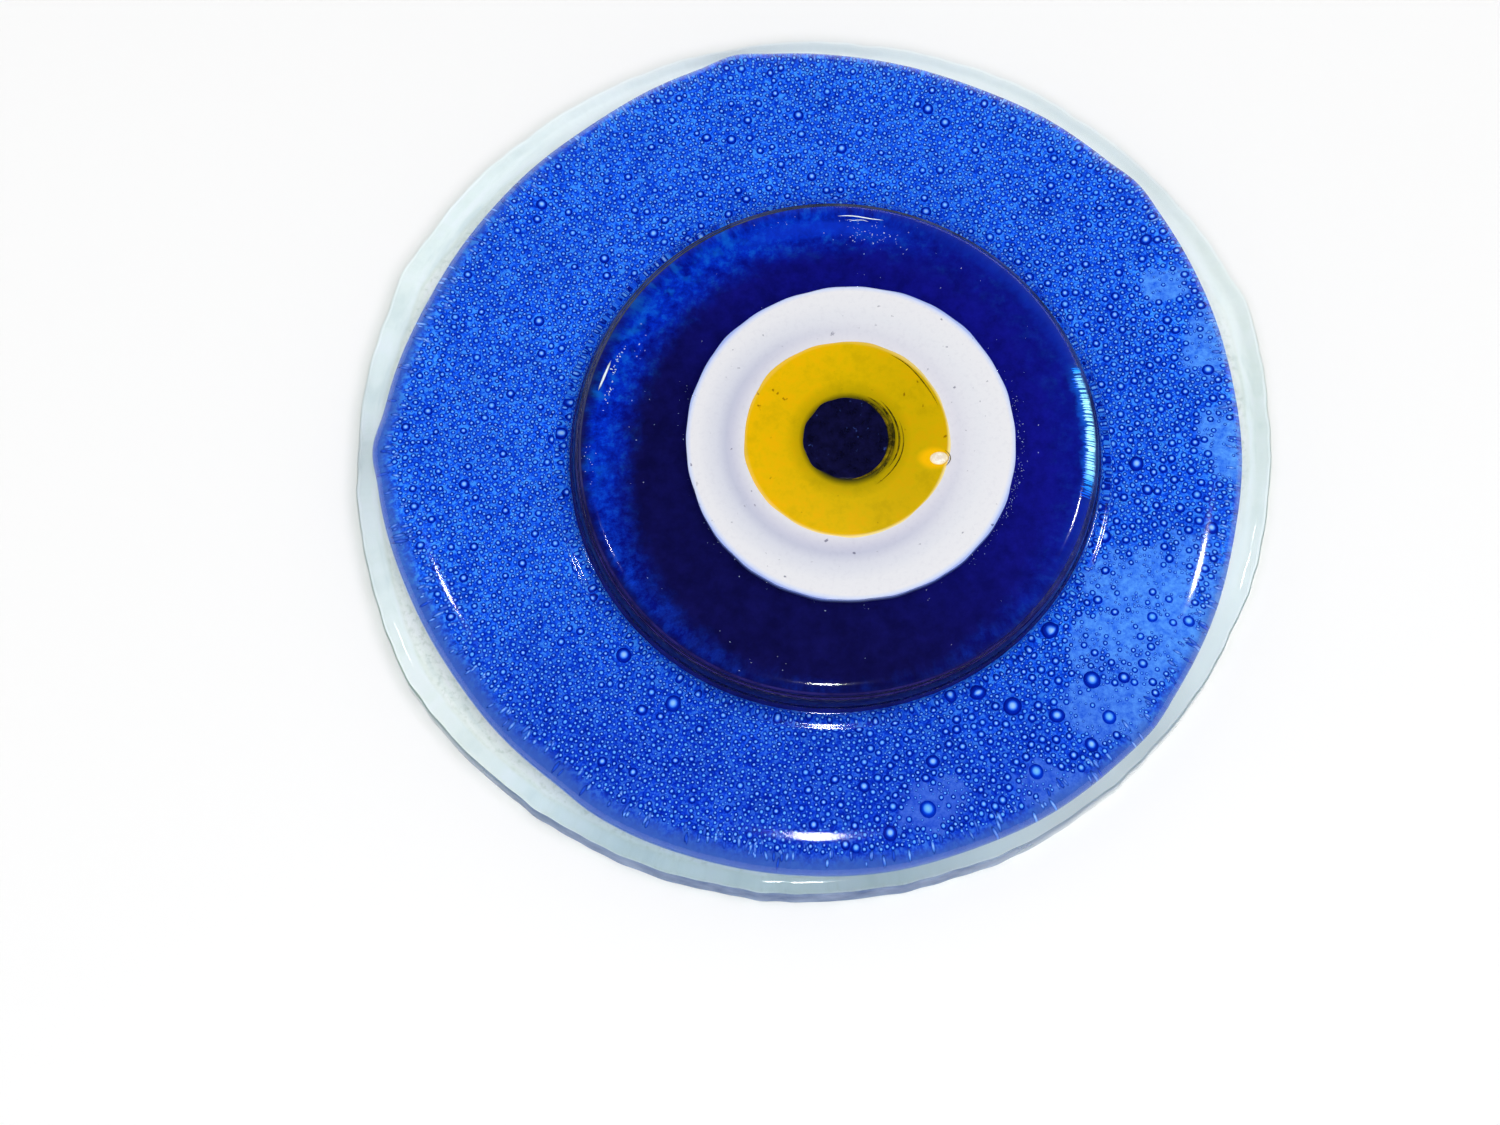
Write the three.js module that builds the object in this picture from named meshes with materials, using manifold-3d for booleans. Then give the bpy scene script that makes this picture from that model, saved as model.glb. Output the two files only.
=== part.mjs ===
// Evil eye ornament: a flat disc of kiln-fused glass that lies with its eye facing up.
//
// From the bottom up it is a hand-cut disc of clear glass, a slightly smaller hand-cut disc of blue
// glass, and a pressed cobalt bead with a white disc, a yellow iris and a dark pupil, each let into a
// shallow recess of the one outside it.
//
// Millimetres, +Z up.  The origin is at the middle of the underside of the clear disc.
import * as THREE from "three";
import { mergeVertices } from "three/addons/utils/BufferGeometryUtils.js";
import Module from "manifold-3d";

const wasm = await Module();
wasm.setup();

// ---- driving dimensions ----
const BASE_THICKNESS = 5;
const SHEET_THICKNESS = 4;
const BEAD_THICKNESS = 4;
const BASE_TOP = BASE_THICKNESS;
const SHEET_TOP = BASE_TOP + SHEET_THICKNESS;
const BEAD_TOP = SHEET_TOP + BEAD_THICKNESS;

const BASE_RADIUS = 50; // nominal: the outlines below draw the true ones
const SHEET_RADIUS = 46.5;
const BEAD_RADIUS = 28.25;
const BEAD_CROWN = 0.8; // how much lower the bead's dome would be at its rim than in its middle

// Rounds that the kiln leaves on the edges: how far in they reach, how high, and in how many steps.
const BASE_LOWER_ROUND = { width: 0.6, rise: 0.6, steps: 2 };
const BASE_UPPER_ROUND = { width: 1.6, rise: 1.4, steps: 4 };
const SHEET_LOWER_ROUND = { width: 0.5, rise: 0.9, steps: 2 };
const SHEET_UPPER_ROUND = { width: 6, rise: 2.8, steps: 5 };
const BEAD_LOWER_ROUND = { width: 0.4, rise: 0.8, steps: 2 };
const BEAD_UPPER_ROUND = { width: 2.4, rise: 2, steps: 5 };
const INLAY_LOWER_ROUND = { width: 0.2, rise: 0.2, steps: 1 };
const INLAY_UPPER_ROUND = { width: 0.3, rise: 0.1, steps: 1 };

const INLAY_GAP = 0.1; // hairline between an inlay and the wall of its recess
const SEGMENTS = 72; // sides of every disc
const DOME_RINGS = 3; // rings that a domed face is turned in
const MERGE_TOLERANCE = 1e-4;

// ---- outlines ----
// A disc snapped from a scored sheet has a few corners with long, nearly round runs between them.
// Each corner holds its angle in degrees, its radius, and how far the run that follows falls short of
// an even sweep to the next corner.
const BASE_CORNERS = [
  { angle: 20, radius: 50.9, sag: 1.7 },
  { angle: 155, radius: 50.4, sag: 0.6 },
  { angle: 210, radius: 50.9, sag: 1.9 },
];
const SHEET_CORNERS = [
  { angle: 40, radius: 48.3, sag: 1.1 },
  { angle: 100, radius: 47.4, sag: 2.5 },
  { angle: 180, radius: 47.2, sag: 1.2 },
  { angle: 240, radius: 46.0, sag: 0.0 },
  { angle: 320, radius: 48.2, sag: 1.0 },
];
const CORNER_SHARPNESS = 0.65; // power of the sweep between corners: 1 is soft, 0.5 is sharp

function cutOutline(corners) {
  return (turn) => {
    const degrees = THREE.MathUtils.euclideanModulo(THREE.MathUtils.radToDeg(turn), 360);
    const after = corners.findIndex((corner) => corner.angle > degrees);
    const next = after === -1 ? 0 : after;
    const last = (next + corners.length - 1) % corners.length;
    const span = THREE.MathUtils.euclideanModulo(corners[next].angle - corners[last].angle, 360);
    const along = THREE.MathUtils.euclideanModulo(degrees - corners[last].angle, 360) / span;
    const sweep = THREE.MathUtils.lerp(corners[last].radius, corners[next].radius, along);
    return sweep - corners[last].sag * Math.sin(Math.PI * along) ** CORNER_SHARPNESS;
  };
}

// A pressed drop of glass is round but for a faint wobble of a few lobes.
function pressedOutline(radius, lobes, wobble, phase) {
  return (turn) => radius + wobble * Math.cos(lobes * turn + phase);
}

const baseOutline = cutOutline(BASE_CORNERS);
const sheetOutline = cutOutline(SHEET_CORNERS);
const beadOutline = pressedOutline(BEAD_RADIUS, 3, 0.12, 0.4);

// Where the middles of the sheet and the bead lie, from the middle of the clear disc.
const SHEET_CENTRE = new THREE.Vector2(-0.9, -0.5);
const BEAD_CENTRE = new THREE.Vector2(2.2, -1.85);

// The inlays, from the outside in.  The floor is the height of the recess that each lies in, and proud
// is how far it stands above the bead's dome.
const WHITE = {
  radius: 17.7,
  floor: BEAD_TOP - 2,
  outline: pressedOutline(17.7, 4, 0.12, 2.6),
  centre: new THREE.Vector2(3.9, -1.65),
  proud: 0.08,
};
const IRIS = {
  radius: 11,
  floor: BEAD_TOP - 1.25,
  outline: pressedOutline(11, 5, 0.08, 0.9),
  centre: new THREE.Vector2(3.45, -1.4),
  proud: 0.1,
};
const PUPIL = {
  radius: 4.55,
  floor: BEAD_TOP - 0.75,
  outline: pressedOutline(4.55, 3, 0.06, 2.2),
  centre: new THREE.Vector2(3.35, -1.45),
  proud: 0.15,
};

// ---- shapes ----
// The bead's upper face is a shallow dome, and its inlays follow it.
function domeHeight(distance) {
  return BEAD_TOP - BEAD_CROWN * (distance / BEAD_RADIUS) ** 2;
}

// A quarter round between a disc's side and one of its faces, from the side to the face.  A negative
// rise makes the round at the lower face.
function quarterRound(radius, faceHeight, { width, rise, steps }) {
  const points = [];
  for (let i = 0; i <= steps; i++) {
    const angle = (Math.PI / 2) * (i / steps);
    const distance = radius - width * (1 - Math.cos(angle));
    points.push(new THREE.Vector2(distance, faceHeight - rise * (1 - Math.sin(angle))));
  }
  return points;
}

// Half section of a disc, from the axis on the lower face to the axis on the upper one.
function discProfile(radius, bottom, topAt, lower, upper, rings) {
  const shoulder = radius - upper.width;
  const lowerRound = quarterRound(radius, bottom, { ...lower, rise: -lower.rise });
  const points = [
    new THREE.Vector2(0, bottom),
    ...lowerRound.reverse(),
    ...quarterRound(radius, topAt(shoulder), upper),
  ];
  for (let ring = rings - 1; ring >= 0; ring--) {
    const distance = (shoulder * ring) / rings;
    points.push(new THREE.Vector2(distance, topAt(distance)));
  }
  return points;
}

// Turns a half section about the disc's axis, then draws each side in or out to the outline.
function turnedDisc(profile, outline, radius, centre) {
  const geometry = new THREE.LatheGeometry(profile, SEGMENTS);
  geometry.rotateX(Math.PI / 2);
  geometry.deleteAttribute("uv");
  geometry.deleteAttribute("normal");
  const place = geometry.attributes.position;
  for (let i = 0; i < place.count; i++) {
    const turn = Math.atan2(place.getY(i), place.getX(i));
    const stretch = outline(turn) / radius;
    place.setXY(i, place.getX(i) * stretch + centre.x, place.getY(i) * stretch + centre.y);
  }
  return mergeVertices(geometry, MERGE_TOLERANCE);
}

// ---- booleans ----
function toManifold(geometry) {
  return new wasm.Manifold(
    new wasm.Mesh({
      numProp: 3,
      vertProperties: new Float32Array(geometry.attributes.position.array),
      triVerts: new Uint32Array(geometry.index.array),
    }),
  );
}

function toGeometry(solid) {
  const { vertProperties, triVerts } = solid.getMesh();
  const geometry = new THREE.BufferGeometry();
  geometry.setAttribute("position", new THREE.BufferAttribute(vertProperties, 3));
  geometry.setIndex(new THREE.BufferAttribute(triVerts, 1));
  return geometry;
}

// Cuts the flat-floored recess that an inlay lies in, a hairline wider than the inlay.
function withRecess(geometry, inlay) {
  const wall = inlay.radius + INLAY_GAP;
  const clear = BEAD_TOP + BEAD_CROWN;
  const profile = [
    new THREE.Vector2(0, inlay.floor),
    new THREE.Vector2(wall, inlay.floor),
    new THREE.Vector2(wall, clear),
    new THREE.Vector2(0, clear),
  ];
  const cutter = turnedDisc(profile, inlay.outline, inlay.radius, inlay.centre);
  return toGeometry(toManifold(geometry).subtract(toManifold(cutter)));
}

// ---- the pieces ----
function clearBaseDisc() {
  const profile = discProfile(BASE_RADIUS, 0, () => BASE_TOP, BASE_LOWER_ROUND, BASE_UPPER_ROUND, 1);
  const geometry = turnedDisc(profile, baseOutline, BASE_RADIUS, new THREE.Vector2());
  geometry.computeBoundingBox();
  const middle = geometry.boundingBox.getCenter(new THREE.Vector3());
  return geometry.translate(-middle.x, -middle.y, 0);
}

function blueBubbleDisc() {
  const profile = discProfile(
    SHEET_RADIUS,
    BASE_TOP,
    () => SHEET_TOP,
    SHEET_LOWER_ROUND,
    SHEET_UPPER_ROUND,
    1,
  );
  return turnedDisc(profile, sheetOutline, SHEET_RADIUS, SHEET_CENTRE);
}

function cobaltBead() {
  const profile = discProfile(
    BEAD_RADIUS,
    SHEET_TOP,
    domeHeight,
    BEAD_LOWER_ROUND,
    BEAD_UPPER_ROUND,
    DOME_RINGS,
  );
  const bead = turnedDisc(profile, beadOutline, BEAD_RADIUS, BEAD_CENTRE);
  return withRecess(bead, WHITE);
}

// An inlay stands a hair proud of the dome round it, with a soft upper edge.
function inlaySolid({ radius, floor, outline, centre, proud }) {
  const topAt = (distance) => domeHeight(distance) + proud;
  const profile = discProfile(radius, floor, topAt, INLAY_LOWER_ROUND, INLAY_UPPER_ROUND, DOME_RINGS);
  return turnedDisc(profile, outline, radius, centre);
}

function namedMesh(name, geometry, { color, roughness }) {
  const mesh = new THREE.Mesh(
    geometry,
    new THREE.MeshStandardMaterial({ color, roughness, metalness: 0 }),
  );
  mesh.name = name;
  return mesh;
}

const ornament = new THREE.Group();
ornament.name = "evil_eye_ornament";
ornament.add(
  namedMesh("clear_base_disc", clearBaseDisc(), { color: 0xd9e8e6, roughness: 0.1 }),
  namedMesh("blue_bubble_disc", blueBubbleDisc(), { color: 0x235ce0, roughness: 0.08 }),
  namedMesh("cobalt_bead", cobaltBead(), { color: 0x0b1170, roughness: 0.06 }),
  namedMesh("white_disc", withRecess(inlaySolid(WHITE), IRIS), { color: 0xdedee8, roughness: 0.15 }),
  namedMesh("yellow_iris", withRecess(inlaySolid(IRIS), PUPIL), { color: 0xdaa803, roughness: 0.12 }),
  namedMesh("pupil", inlaySolid(PUPIL), { color: 0x0c0b2e, roughness: 0.08 }),
);

export default ornament;
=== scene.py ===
"""Looks of the evil eye ornament: fused glass discs, trapped bubbles and the inlaid eye."""
import math

import bpy
import numpy as np
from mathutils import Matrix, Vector, noise


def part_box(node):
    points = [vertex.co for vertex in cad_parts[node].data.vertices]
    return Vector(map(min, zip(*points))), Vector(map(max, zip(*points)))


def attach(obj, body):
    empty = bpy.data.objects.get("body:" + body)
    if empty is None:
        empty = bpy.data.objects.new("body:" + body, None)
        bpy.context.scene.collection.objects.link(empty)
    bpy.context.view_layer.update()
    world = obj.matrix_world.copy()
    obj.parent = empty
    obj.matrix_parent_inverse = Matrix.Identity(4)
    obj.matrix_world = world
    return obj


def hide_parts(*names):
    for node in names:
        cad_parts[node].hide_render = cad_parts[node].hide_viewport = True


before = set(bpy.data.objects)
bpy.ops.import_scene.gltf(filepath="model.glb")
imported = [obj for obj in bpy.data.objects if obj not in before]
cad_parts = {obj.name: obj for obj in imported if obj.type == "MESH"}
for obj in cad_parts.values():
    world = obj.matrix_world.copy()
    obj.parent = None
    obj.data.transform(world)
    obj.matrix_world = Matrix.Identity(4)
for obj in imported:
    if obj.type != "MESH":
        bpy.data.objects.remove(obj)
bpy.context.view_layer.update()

MM = 0.001
TAU = 2 * math.pi

# ---- sizes read from the frame (metres) ----
UNDERSIDE, BASE_TOP = (corner.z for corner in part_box("clear_base_disc"))
SHEET_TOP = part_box("blue_bubble_disc")[1].z
WHITE_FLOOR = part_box("white_disc")[0].z
IRIS_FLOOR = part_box("yellow_iris")[0].z
PUPIL_FLOOR, EYE_TOP = (corner.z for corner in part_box("pupil"))

# ---- fine shape (metres) ----
SIDES = 600  # points round every disc's edge
AROUND = np.arange(SIDES) * TAU / SIDES
COLUMNS = 72  # columns of the faceted CAD discs, which the fine outlines run through
BASE_LOWER_ROUND = (0.6 * MM, 0.6 * MM)  # how far in, how high
BASE_UPPER_ROUND = (1.6 * MM, 1.4 * MM)
SHEET_LOWER_ROUND = (0.5 * MM, 0.9 * MM)
SHEET_UPPER_ROUND = (6.0 * MM, 2.8 * MM)
BEAD_LOWER_ROUND = (0.4 * MM, 0.8 * MM)
BEAD_UPPER_ROUND = (2.4 * MM, 2.0 * MM)
BEAD_CROWN = 0.8 * MM
EYE_PROUD = 0.15 * MM  # how far the pupil stands above the bead's dome in the CAD
BED_LIFT = 0.05 * MM  # the bubble layer lies this far above the fused face
# The blue glass creeps up the bead's foot: how far out from the bead, how high above the sheet, in mm.
FILLET = [
    (2.9, 0.0), (2.35, 0.02), (1.85, 0.14), (1.45, 0.20), (1.0, 0.225), (0.65, 0.26), (0.4, 0.36),
    (0.2, 0.52), (0.05, 0.8),
]
# The press left two folds on the bead's upper round: how far in from its edge, and how thick, in mm.
# They are this far in on its left side, and close up to the edge on its right side.
CREASES = [(0.42, 0.11), (0.82, 0.14)]
BED_RINGS = 60  # rings of the bubble layer's bed, fine enough to carry the clear patches
SCATTER_CELL = 2.4 * MM  # wider than two of the largest bubbles side by side
BUBBLE_FLATNESS = 0.55  # height of a bubble over its radius
STREAKS = 520  # slender bubbles along the border of the bubble layer
ARC_POINTS = 25  # points along a fine stroke that follows an arc

NEAR_SIDE = (-0.25, -0.97)  # direction towards the bead's darkest edge
CAMERA_ELEVATION = 72  # degrees
CAMERA_DISTANCE = 0.388
# Each lamp's azimuth and elevation in degrees, with azimuth 0 on the camera's side, its distance and
# size in metres, its watts, and True if it is only mirrored in the glass or False if it only lights it.
LAMPS = {
    "softbox": (20, 78, 1.2, (1.1, 1.1), 13.0, False),
    "front_lamp": (-2, 76, 0.9, (0.055, 0.15), 0.7, True),
    "left_lamp": (-102.4, 63, 0.9, (0.04, 0.05), 0.2, True),
    "right_lamp": (102.6, 54, 0.9, (0.08, 0.09), 0.8, True),
}

rng = np.random.default_rng(20)


# ---- outlines ----
def catmull_rom(p0, p1, p2, p3, t):
    """A smooth curve from p1 to p2 as t goes from 0 to 1, with p0 before them and p3 after."""
    bend = (2 * p0 - 5 * p1 + 4 * p2 - p3) * t ** 2 + (3 * p1 - p0 - 3 * p2 + p3) * t ** 3
    return 0.5 * (2 * p1 + (p2 - p0) * t + bend)


class Outline:
    """The closed edge of a CAD disc as a smooth radius at any angle, about the middle of its box."""

    def __init__(self, node):
        low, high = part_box(node)
        self.centre = ((low + high) / 2).to_2d()
        spots = np.array([v.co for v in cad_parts[node].data.vertices])
        across = spots[:, 0] - self.centre.x
        along = spots[:, 1] - self.centre.y
        reach = np.hypot(across, along)
        column = np.round(np.arctan2(along, across) / TAU * COLUMNS).astype(int) % COLUMNS
        self.samples = np.array([reach[column == c].max() for c in range(COLUMNS)])
        self.waves = []

    def roughen(self, depth, lobes):
        """Adds the fine unevenness of a hand-snapped edge: waves of random height and phase."""
        for count in lobes:
            self.waves.append((count, depth * rng.uniform(0.3, 1.0), rng.uniform(0, TAU)))

    def radius(self, angle):
        """A smooth curve through the columns' radii, with the fine waves on it."""
        angle = np.asarray(angle, dtype=float)
        place = angle / TAU * COLUMNS
        whole = np.floor(place).astype(int)
        near = (self.samples[(whole + k) % COLUMNS] for k in (-1, 0, 1, 2))
        waves = sum(height * np.cos(count * angle + phase) for count, height, phase in self.waves)
        return catmull_rom(*near, place - whole) + waves

    def margin(self, x, y):
        """How far points lie inside the edge, and their angle about the centre."""
        across, along = x - self.centre.x, y - self.centre.y
        angle = np.arctan2(along, across) % TAU
        return self.radius(angle) - np.hypot(across, along), angle

    def at(self, angle, reach):
        """X and Y at an angle about the centre and a distance from it."""
        return self.centre.x + reach * np.cos(angle), self.centre.y + reach * np.sin(angle)

    def ring(self, offset, height, share=1.0):
        """Points round the outline, scaled by share and then moved out by offset.

        height is a number, or a function of x and y."""
        x, y = self.at(AROUND, self.radius(AROUND) * share + offset)
        z = height(x, y) if callable(height) else np.full(SIDES, height)
        return np.column_stack([x, y, z])


base = Outline("clear_base_disc")
sheet = Outline("blue_bubble_disc")
bead = Outline("cobalt_bead")
white = Outline("white_disc")
iris = Outline("yellow_iris")
pupil = Outline("pupil")
BEAD_RADIUS = float(bead.samples.mean())
base.roughen(0.09 * MM, (9, 14, 23, 37))
base.roughen(0.035 * MM, (61, 83, 97))
sheet.roughen(0.06 * MM, (8, 13, 19))
white.roughen(0.04 * MM, (9, 15, 27))
iris.roughen(0.04 * MM, (7, 13, 22))
pupil.roughen(0.06 * MM, (4, 7, 11))


def bead_height(x, y):
    """Height of the bead's dome."""
    reach = np.hypot(x - bead.centre.x, y - bead.centre.y)
    return EYE_TOP - EYE_PROUD - BEAD_CROWN * (reach / BEAD_RADIUS) ** 2


BEAD_SHOULDER = float(bead_height(bead.centre.x + BEAD_RADIUS - BEAD_UPPER_ROUND[0], bead.centre.y))


# ---- meshes ----
def new_piece(name, points, faces, materials, slots=None):
    mesh = bpy.data.meshes.new(name)
    mesh.from_pydata(np.asarray(points).tolist(), [], faces)
    for material in materials:
        mesh.materials.append(material)
    if slots is not None:
        mesh.polygons.foreach_set("material_index", slots)
    mesh.polygons.foreach_set("use_smooth", [True] * len(faces))
    mesh.update()
    piece = bpy.data.objects.new(name, mesh)
    bpy.context.scene.collection.objects.link(piece)
    return piece


def write_attribute(piece, name, values):
    layer = piece.data.attributes.new(name, "FLOAT", "POINT")
    layer.data.foreach_set("value", np.asarray(values, dtype=np.float32))


def quarter_round(face, width, rise, steps):
    """(offset, height) pairs from a disc's side to one of its faces.

    A negative rise makes the round of a lower edge."""
    turn = [0.5 * math.pi * i / steps for i in range(steps + 1)]
    return [(-width * (1 - math.cos(a)), face - rise * (1 - math.sin(a))) for a in turn]


def eased(points, steps):
    """A smooth curve through points, with steps between each two."""
    ends = np.array([points[0], *points, points[-1]], dtype=float)
    spans = zip(ends, ends[1:], ends[2:], ends[3:])
    curve = [catmull_rom(*near, t) for near in spans for t in np.arange(steps) / steps]
    return [*curve, ends[-1]]


def band(low, high, sides=SIDES):
    """Faces between two rings of points, given by the index of each ring's first point."""
    onward = [*range(1, sides), 0]
    return [(low + i, low + j, high + j, high + i) for i, j in enumerate(onward)]


def lofted(name, rings, materials, bands):
    """A closed body through rings of SIDES points, capped at both ends.

    bands gives the material index of the bottom cap, each band between rings, and the top cap."""
    faces = [tuple(range(SIDES - 1, -1, -1))]
    for r in range(len(rings) - 1):
        faces += band(r * SIDES, (r + 1) * SIDES)
    last = (len(rings) - 1) * SIDES
    faces.append(tuple(last + i for i in range(SIDES)))
    slots = [bands[0], *np.repeat(bands[1:-1], SIDES).tolist(), bands[-1]]
    return new_piece(name, np.concatenate(rings), faces, materials, slots)


def looped(name, rings, material):
    """A closed ring-shaped body whose section runs through rings of SIDES points."""
    faces = []
    for r in range(len(rings)):
        faces += band(r * SIDES, (r + 1) % len(rings) * SIDES)
    return new_piece(name, np.concatenate(rings), faces, [material])


# ---- shader nodes ----
class Nodes:
    """Small helper that adds and links the shader nodes of a new material, or of a new world."""

    def __init__(self, name, world=False):
        self.owner = (bpy.data.worlds if world else bpy.data.materials).new(name)
        self.owner.use_nodes = True
        self.tree = self.owner.node_tree
        self.tree.nodes.clear()
        self.out = self.tree.nodes.new("ShaderNodeOutputWorld" if world else "ShaderNodeOutputMaterial")

    def add(self, kind, inputs=None, **settings):
        node = self.tree.nodes.new(kind)
        for key, value in settings.items():
            setattr(node, key, value)
        for key, value in (inputs or {}).items():
            socket = node.inputs[key]
            if isinstance(value, bpy.types.NodeSocket):
                self.tree.links.new(value, socket)
            else:
                socket.default_value = value
        return node

    def link(self, source, target):
        self.tree.links.new(source, target)

    def place(self):
        return self.add("ShaderNodeTexCoord").outputs["Object"]

    def attribute(self, name):
        return self.add("ShaderNodeAttribute", attribute_name=name).outputs["Fac"]

    def noise(self, scale, detail=2.0, rough=0.5, vector=None):
        node = self.add("ShaderNodeTexNoise", {
            "Scale": scale, "Detail": detail, "Roughness": rough, "Vector": vector or self.place(),
        })
        return node.outputs["Fac"]

    def ramp(self, factor, stops, mode="LINEAR"):
        node = self.add("ShaderNodeValToRGB", {"Fac": factor})
        node.color_ramp.interpolation = mode
        ramp = node.color_ramp.elements
        while len(ramp) < len(stops):
            ramp.new(0.5)
        for element, (position, colour) in zip(ramp, stops):
            element.position = position
            element.color = (*colour, 1.0)
        return node.outputs["Color"]

    def maths(self, operation, a, b=0.0, c=0.0):
        return self.add("ShaderNodeMath", {0: a, 1: b, 2: c}, operation=operation).outputs[0]

    def product(self, a, b):
        return self.maths("MULTIPLY", a, b)

    def smooth(self, value, low, high, start=0.0, end=1.0):
        """Runs softly from start to end as value goes from low to high."""
        node = self.add("ShaderNodeMapRange", {"Value": value, 1: low, 2: high, 3: start, 4: end},
                        interpolation_type="SMOOTHSTEP")
        return node.outputs[0]

    def blend(self, factor, a, b, mode="MIX"):
        node = self.add("ShaderNodeMix", data_type="RGBA", blend_type=mode)
        for socket, value in ((node.inputs[0], factor), (node.inputs[6], a), (node.inputs[7], b)):
            if isinstance(value, bpy.types.NodeSocket):
                self.link(value, socket)
            else:
                socket.default_value = (*value, 1.0) if isinstance(value, tuple) else value
        return node.outputs[2]

    def times(self, a, b):
        """Two colours multiplied."""
        return self.blend(1.0, a, b, "MULTIPLY")

    def vector(self, operation, a, b=None):
        inputs = {0: a} if b is None else {0: a, 1: b}
        return self.add("ShaderNodeVectorMath", inputs, operation=operation).outputs

    def bump(self, height, strength, distance):
        node = self.add("ShaderNodeBump", {"Strength": strength, "Distance": distance, "Height": height})
        return node.outputs["Normal"]

    def offset_from(self, centre, scale=(1, 1)):
        """Horizontal offset in metres from a vertical line through centre, scaled along X and Y."""
        apart = self.vector("SUBTRACT", self.place(), (centre[0], centre[1], 0))[0]
        return self.vector("MULTIPLY", apart, (*scale, 0))[0]

    def distance_from(self, centre, scale=(1, 1)):
        """Distance in metres from a vertical line through centre."""
        return self.vector("LENGTH", self.offset_from(centre, scale))["Value"]

    def towards(self, centre):
        """Unit vector from a vertical line through centre."""
        return self.vector("NORMALIZE", self.offset_from(centre))[0]

    def layers_about(self, centre, turns, layers):
        """Vector for a noise that is drawn out along circles about centre."""
        turned = self.vector("MULTIPLY", self.towards(centre), (turns, turns, 0))[0]
        outward = self.product(self.distance_from(centre), layers)
        lift = self.add("ShaderNodeCombineXYZ", {"Z": outward}).outputs[0]
        return self.vector("ADD", turned, lift)[0]

    def lobe(self, direction, degrees, width):
        """1 where a unit vector points at an angle in degrees, and 0 from a width to each side on."""
        aim = (math.cos(math.radians(degrees)), math.sin(math.radians(degrees)), 0)
        dot = self.vector("DOT_PRODUCT", direction, aim)["Value"]
        return self.smooth(dot, math.cos(math.radians(width)), math.cos(math.radians(width * 0.35)))

    def along(self, direction):
        """Position in metres along a horizontal direction."""
        return self.vector("DOT_PRODUCT", self.place(), (*direction, 0))["Value"]

    def surface(self, socket):
        self.link(socket, self.out.inputs["Surface"])
        return self.owner

    def matt(self, colour, roughness=0.6):
        """A surface inside the glass, which has no gloss of its own."""
        return self.add("ShaderNodeBsdfPrincipled", {
            "Base Color": colour, "Roughness": roughness, "Specular IOR Level": 0.0,
        })

    def matt_surface(self, colour, roughness=0.6):
        return self.surface(self.matt(colour, roughness).outputs[0])


# ---- glass ----
def glass(name, tint, absorb, density, coat=None, roughness=0.08):
    """Coloured glass, darker where it is thicker, that lets light through to what lies under it.

    coat gives a share and a colour of a matt coat on it; the clear disc's wall uses it for painted shade."""
    n = Nodes(name)
    body = n.add("ShaderNodeBsdfPrincipled", {
        "Base Color": (*tint, 1), "Roughness": roughness, "IOR": 1.5, "Transmission Weight": 1.0,
    })
    if coat:
        share, colour = coat(n)
        body = n.add("ShaderNodeMixShader", {0: share, 1: body.outputs[0], 2: n.matt(colour).outputs[0]})
    through = n.add("ShaderNodeBsdfTransparent", {"Color": (*(math.sqrt(c) for c in tint), 1)})
    path = n.add("ShaderNodeLightPath")
    lit = n.maths("MAXIMUM", path.outputs["Is Shadow Ray"], path.outputs["Is Diffuse Ray"])
    mix = n.add("ShaderNodeMixShader", {0: lit, 1: body.outputs[0], 2: through.outputs[0]})
    volume = n.add("ShaderNodeVolumeAbsorption", {"Color": (*absorb, 1), "Density": density})
    n.link(volume.outputs[0], n.out.inputs["Volume"])
    return n.surface(mix.outputs[0])


def contact(name):
    """The fused face between two pieces of glass: nothing is seen of it."""
    n = Nodes(name)
    clear = n.add("ShaderNodeBsdfTransparent", {"Color": (1, 1, 1, 1)})
    return n.surface(clear.outputs[0])


def frosted_underside():
    """The clear disc's lower face, mottled by the kiln shelf.

    Painted light: blue light and a faint blue glow where blue glass covers it, pale light and a faint
    glow at its lower right. Painted shade on its near side. It is whiter towards the far side."""
    n = Nodes("frosted_underside")
    inset = n.attribute("inset")
    streaks = n.ramp(n.noise(1.0, 4.0, 0.6, n.layers_about(base.centre, 9.0, 900.0)), [
        (0.34, (0.86, 0.90, 0.88)), (0.48, (0.96, 0.98, 0.95)), (0.62, (1.0, 1.0, 1.0)),
    ])
    grain = n.ramp(n.noise(1500.0, 4.0, 0.7), [(0.36, (0.80, 0.82, 0.79)), (0.50, (1, 1, 1))])
    grain = n.blend(n.smooth(inset, 0.45, 0.75), (1, 1, 1), grain)
    wall = n.ramp(inset, [
        (0.0, (0.93, 0.97, 1.0)), (0.50, (0.95, 0.98, 1.0)), (0.58, (0.91, 0.93, 0.90)),
        (0.66, (1, 1, 0.98)),
    ])
    colour = n.times(n.times(streaks, grain), wall)
    far = n.smooth(n.along((0.25, 0.97)), 16 * MM, 42 * MM, 0.0, 0.85)
    colour = n.blend(far, colour, (1, 1, 1))
    # Painted light: paler at the lower right.
    lower_right = n.product(n.lobe(n.towards(base.centre), -40, 45), 0.9)
    colour = n.blend(lower_right, colour, (0.97, 0.99, 1.0))
    # Painted shade: darker on the near side.
    near = n.smooth(n.along((-0.1, -0.99)), 34 * MM, 47 * MM)
    colour = n.blend(near, colour, n.times(colour, (0.76, 0.88, 0.98)))
    # Painted blue light where the blue sheet covers the face.
    covered = n.smooth(n.distance_from(sheet.centre), 40 * MM, 44.5 * MM, 1.0, 0.0)
    colour = n.blend(covered, colour, n.times(colour, (0.45, 0.66, 1.0)))
    # Painted glow: a faint emission, blue under the sheet and pale at the lower right.
    glow = n.blend(covered, n.blend(lower_right, (0, 0, 0), (0.15, 0.19, 0.21)), (0.014, 0.066, 0.30))
    body = n.matt(colour, 0.8)
    n.link(glow, body.inputs["Emission Color"])
    body.inputs["Emission Strength"].default_value = 0.5
    n.link(n.bump(n.noise(900.0, 3.0), 0.2, 0.0004), body.inputs["Normal"])
    return n.surface(body.outputs[0])


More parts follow.
